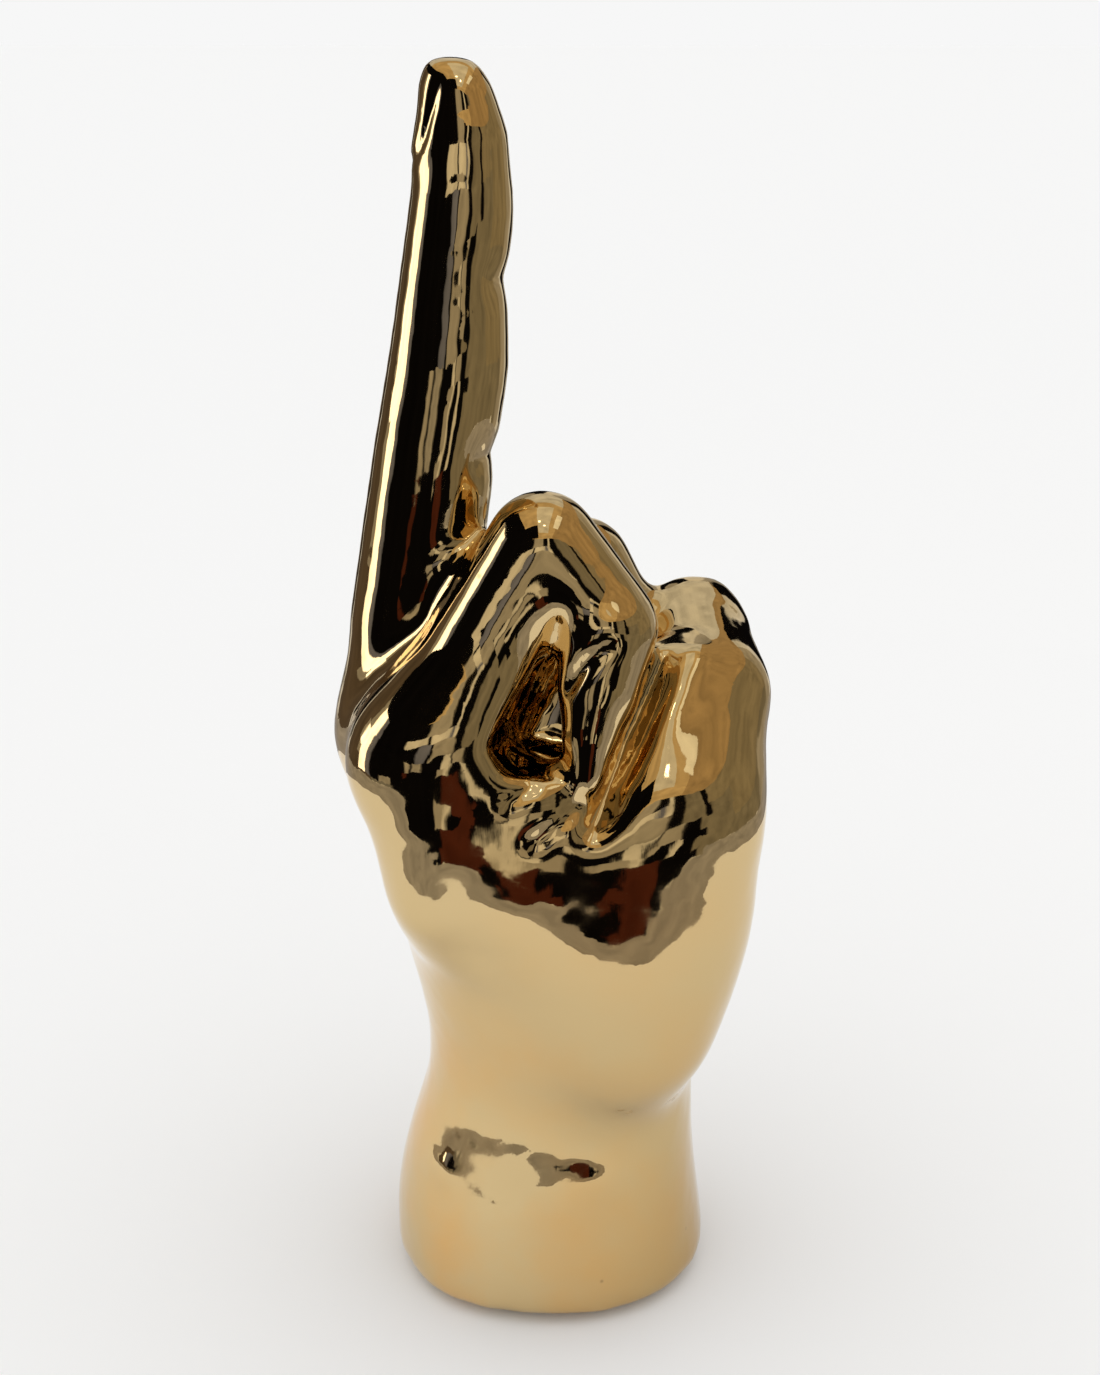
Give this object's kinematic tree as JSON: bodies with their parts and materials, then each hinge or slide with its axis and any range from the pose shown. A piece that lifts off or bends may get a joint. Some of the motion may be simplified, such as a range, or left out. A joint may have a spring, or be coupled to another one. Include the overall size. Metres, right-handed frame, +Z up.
{
  "type": "hand sculpture",
  "caption": "Mirror-gold ceramic left hand with its middle finger raised, the other fingers folded under the thumb, standing on a flared wrist with felt beneath.",
  "frame": {"origin": "middle of the underside of the felt pad under the wrist", "axes": "+Z up along the raised finger, +X towards the palm, -X the back of the hand, -Y the thumb side, +Y the little-finger side"},
  "size_m": [0.082, 0.084, 0.2305],
  "materials": {
    "gold": "polished",
    "felt": "matte"
  },
  "bodies": {
    "root": {"palm_and_wrist": "gold", "raised_finger": "gold", "index_finger": "gold", "ring_finger": "gold", "little_finger": "gold", "thumb": "gold", "felt_pad": "felt"}
  },
  "joints": []
}
